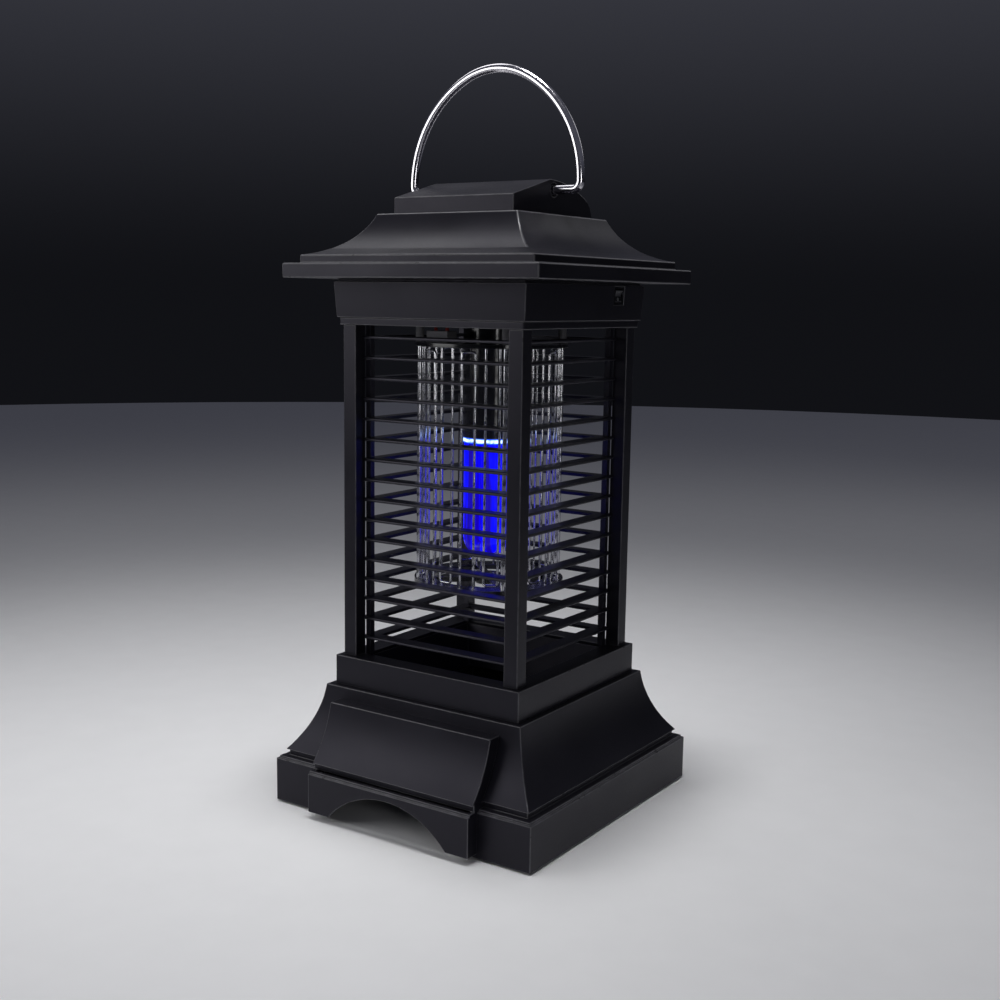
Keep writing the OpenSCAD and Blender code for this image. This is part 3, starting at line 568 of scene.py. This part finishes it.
def arc(centre_x, centre_z, radius, start, end, steps):
    """Points of an arc in the bail's upright plane, angles in radians from +X."""
    turns = (start + (end - start) * k / steps for k in range(steps + 1))
    return [
        Vector((centre_x + radius * math.cos(turn), AXIS_Y, centre_z + radius * math.sin(turn)))
        for turn in turns
    ]


def build_bail():
    """The bail as one smooth wire: two bent-in ends, flatter shoulders and a round top."""
    low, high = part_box("bail_handle")
    half = high.x - BAIL_WIRE_RADIUS
    top_z = high.z - BAIL_WIRE_RADIUS - BAIL_TOP_RADIUS
    end_z = low.z + BAIL_WIRE_RADIUS
    shoulder_z = end_z + BAIL_BEND
    rise = top_z - shoulder_z
    reach = half - BAIL_TOP_RADIUS
    step = (rise ** 2 + reach ** 2) / (2 * reach)
    radius = BAIL_TOP_RADIUS + step
    join = math.pi / 2 - math.acos(rise / step)
    right = [Vector((BAIL_END_X, AXIS_Y, end_z))]
    right += arc(half - BAIL_BEND, shoulder_z, BAIL_BEND, -math.pi / 2, 0, 10)
    right += arc(half - radius, shoulder_z, radius, 0, join, 24)[1:]
    right += arc(0, top_z, BAIL_TOP_RADIUS, join, math.pi / 2, 32)[1:]
    left = [Vector((-p.x, p.y, p.z)) for p in reversed(right[:-1])]
    shape = bmesh.new()
    sweep(shape, right + left, BAIL_WIRE_RADIUS, sides=32)
    add_piece("bail_wire", finished_mesh("bail_wire", shape), "bail", "chrome_wire", "bail_handle")


def lathe(shape, outline, place, sides=32):
    """Turns an outline of (radius, height) round a placed Z axis into a closed solid."""
    rings = []
    for radius, height in outline:
        if radius == 0:
            rings.append([shape.verts.new(place @ Vector((0, 0, height)))])
            continue
        rings.append([
            shape.verts.new(place @ Vector((radius * math.cos(turn), radius * math.sin(turn), height)))
            for turn in (math.tau * k / sides for k in range(sides))
        ])
    for near, far in zip(rings, rings[1:]):
        for k in range(sides):
            n = (k + 1) % sides
            corners = [near[k % len(near)], near[n % len(near)], far[n % len(far)], far[k % len(far)]]
            shape.faces.new(dict.fromkeys(corners))


THREAD_PITCH = 0.7 * MM
THREAD_DEPTH = 0.22 * MM
THREAD_START = 0.3
THREAD_FLANK = 0.35
SCREW_TIP = 0.8 * MM
SCREW_RIM = 0.45
RECESS_ARM = 0.62
RECESS_WIDTH = 0.2
RECESS_DEPTH = 1.2
FRAME_SCREW_HEAD_RADIUS = 3 * MM
FRAME_SCREW_SHANK_RADIUS = 1.5 * MM
FRAME_SCREW_HEADS = {"base_screws": 2.2 * MM, "soffit_screws": 1.4 * MM}
TRAY_SCREW_HEAD_RADIUS = 2.8 * MM
TRAY_SCREW_HEAD_HEIGHT = 1.6 * MM
TRAY_SCREW_SHANK_RADIUS = 1.4 * MM


def screw_outline(head_radius, head_height, shank_radius, length):
    """Half the section of a pan-head screw whose head's seat is at height 0."""
    dome = [
        (head_radius * math.cos(turn), head_height * (SCREW_RIM + (1 - SCREW_RIM) * math.sin(turn)))
        for turn in (math.radians(a) for a in (75, 60, 45, 30, 15, 0))
    ]
    core = shank_radius - THREAD_DEPTH
    outline = [(0, head_height)] + dome + [(head_radius, 0.0), (core, 0.0)]
    for turn in range(int((length - SCREW_TIP) / THREAD_PITCH)):
        top = -THREAD_PITCH * (turn + THREAD_START)
        crest = (shank_radius, top - THREAD_PITCH * THREAD_FLANK)
        outline += [(core, top), crest, (core, top - THREAD_PITCH * 2 * THREAD_FLANK)]
    return outline + [(core, SCREW_TIP - length), (0, -length)]


def cross_recess(place, head_radius, head_height):
    """A cutter for the cross recess in a screw's head."""
    shape = bmesh.new()
    arm = head_radius * RECESS_ARM
    width = head_radius * RECESS_WIDTH
    for size in ((arm, width), (width, arm)):
        block = bmesh.ops.create_cube(shape, size=1)["verts"]
        scale = Matrix.Diagonal((2 * size[0], 2 * size[1], head_height * RECESS_DEPTH, 1))
        seat = place @ Matrix.Translation((0, 0, head_height))
        bmesh.ops.transform(shape, matrix=seat @ scale, verts=block)
    return shape


def cut(mesh, cutter_shape):
    """The mesh less a cutter, by an applied boolean."""
    cutter_mesh = bpy.data.meshes.new("cutter")
    cutter_shape.to_mesh(cutter_mesh)
    cutter_shape.free()
    cutter = bpy.data.objects.new("cutter", cutter_mesh)
    blank = bpy.data.objects.new("blank", mesh)
    for made in (cutter, blank):
        bpy.context.scene.collection.objects.link(made)
    boolean = blank.modifiers.new("cut", "BOOLEAN")
    boolean.object = cutter
    boolean.use_self = True
    graph = bpy.context.evaluated_depsgraph_get()
    result = bpy.data.meshes.new_from_object(blank.evaluated_get(graph))
    for made in (cutter, blank):
        bpy.data.objects.remove(made)
    return result


def join_shapes(name, meshes):
    """Several meshes as one."""
    shape = bmesh.new()
    for mesh in meshes:
        shape.from_mesh(mesh)
    return finished_mesh(name, shape)


def build_screws(node, body, places, head_radius, head_height, shank_radius, length):
    """Cross-recessed pan-head screws that stand for a CAD node of plain ones."""
    meshes = []
    for place in places:
        shape = bmesh.new()
        lathe(shape, screw_outline(head_radius, head_height, shank_radius, length), place)
        bmesh.ops.recalc_face_normals(shape, faces=shape.faces)
        blank = bpy.data.meshes.new("screw")
        shape.to_mesh(blank)
        shape.free()
        meshes.append(cut(blank, cross_recess(place, head_radius, head_height)))
    add_piece(node + "_detailed", join_shapes(node, meshes), body, "screw_steel", node)


def corner_places(node, radius, seat_height):
    """Frames at the four corners of a node's box, each with its head below."""
    low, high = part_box(node)
    turn = Matrix.Rotation(math.pi, 4, "X")
    return [
        Matrix.Translation((x, y, seat_height)) @ turn
        for x in (low.x + radius, high.x - radius) for y in (low.y + radius, high.y - radius)
    ]


def build_all_screws():
    """Base and soffit screws have their heads below; the tray's have theirs inside the bin."""
    for node, head_height in FRAME_SCREW_HEADS.items():
        low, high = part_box(node)
        seat = low.z + head_height
        places = corner_places(node, FRAME_SCREW_HEAD_RADIUS, seat)
        build_screws(
            node, "lantern", places, FRAME_SCREW_HEAD_RADIUS, head_height,
            FRAME_SCREW_SHANK_RADIUS, high.z - seat,
        )
    low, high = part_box("tray_screws")
    seat = high.y - TRAY_SCREW_HEAD_HEIGHT
    centre = middle("tray_screws")
    inwards = Matrix.Rotation(-math.pi / 2, 4, "X")
    places = [
        Matrix.Translation((x, seat, centre.z)) @ inwards
        for x in (low.x + TRAY_SCREW_HEAD_RADIUS, high.x - TRAY_SCREW_HEAD_RADIUS)
    ]
    build_screws(
        "tray_screws", "tray", places, TRAY_SCREW_HEAD_RADIUS, TRAY_SCREW_HEAD_HEIGHT,
        TRAY_SCREW_SHANK_RADIUS, seat - low.y,
    )


MARK_WIRE_RADIUS = 0.13 * MM
MARK_HALF_BAR = 0.8 * MM
MARK_RING_RADIUS = 0.75 * MM
MARK_RISE = 1.9 * MM
MARK_RING_STEPS = 24


def build_rocker_marks():
    """A raised bar on the rocker's upper half and a raised ring on its lower half, along its face."""
    rocker = frame["nodes"]["switch_rocker"]
    graph = bpy.context.evaluated_depsgraph_get()
    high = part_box("switch_rocker")[1]
    centre = middle("switch_rocker")
    to_rocker = rocker.matrix_world.inverted()
    aim = to_rocker.to_3x3() @ Vector((-1, 0, 0))

    def on_face(across, up):
        start = to_rocker @ Vector((high.x + MM, centre.y + across, centre.z + up))
        return rocker.matrix_world @ rocker.ray_cast(start, aim, depsgraph=graph)[1]

    bar = [on_face(across, MARK_RISE) for across in (-MARK_HALF_BAR, 0, MARK_HALF_BAR)]
    turns = [math.tau * k / MARK_RING_STEPS for k in range(MARK_RING_STEPS + 1)]
    ring = [
        on_face(MARK_RING_RADIUS * math.cos(turn), MARK_RING_RADIUS * math.sin(turn) - MARK_RISE)
        for turn in turns
    ]
    shape = bmesh.new()
    sweep(shape, bar, MARK_WIRE_RADIUS, sides=8)
    sweep(shape, ring, MARK_WIRE_RADIUS, sides=8)
    add_piece("rocker_marks", finished_mesh("rocker_marks", shape), "rocker", "insulator")


# ---- Stage ----


def add_floor():
    """A plain, matt, pale floor."""
    finish = Finish("studio_floor")
    grain = finish.noise(40, detail=3)
    finish.set(
        Base_Color=finish.blend(grain, (0.78, 0.78, 0.79), (0.82, 0.82, 0.83)),
        Roughness=finish.spread(grain, 0.3, 0.7, 0.9, 1.0),
        Specular_IOR_Level=0.0,
    )
    mesh = bpy.data.meshes.new("floor")
    shape = bmesh.new()
    bmesh.ops.create_circle(shape, cap_ends=True, segments=96, radius=FLOOR_RADIUS)
    shape.to_mesh(mesh)
    shape.free()
    floor = bpy.data.objects.new("floor", mesh)
    floor.data.materials.append(finish.material)
    bpy.context.scene.collection.objects.link(floor)


add_camera()
add_lights()
set_world()
add_floor()
finish_cad_nodes()
build_grid("live_grid", 0, True)
build_grid("return_grid", 1, False)
build_bail()
build_all_screws()
build_rocker_marks()
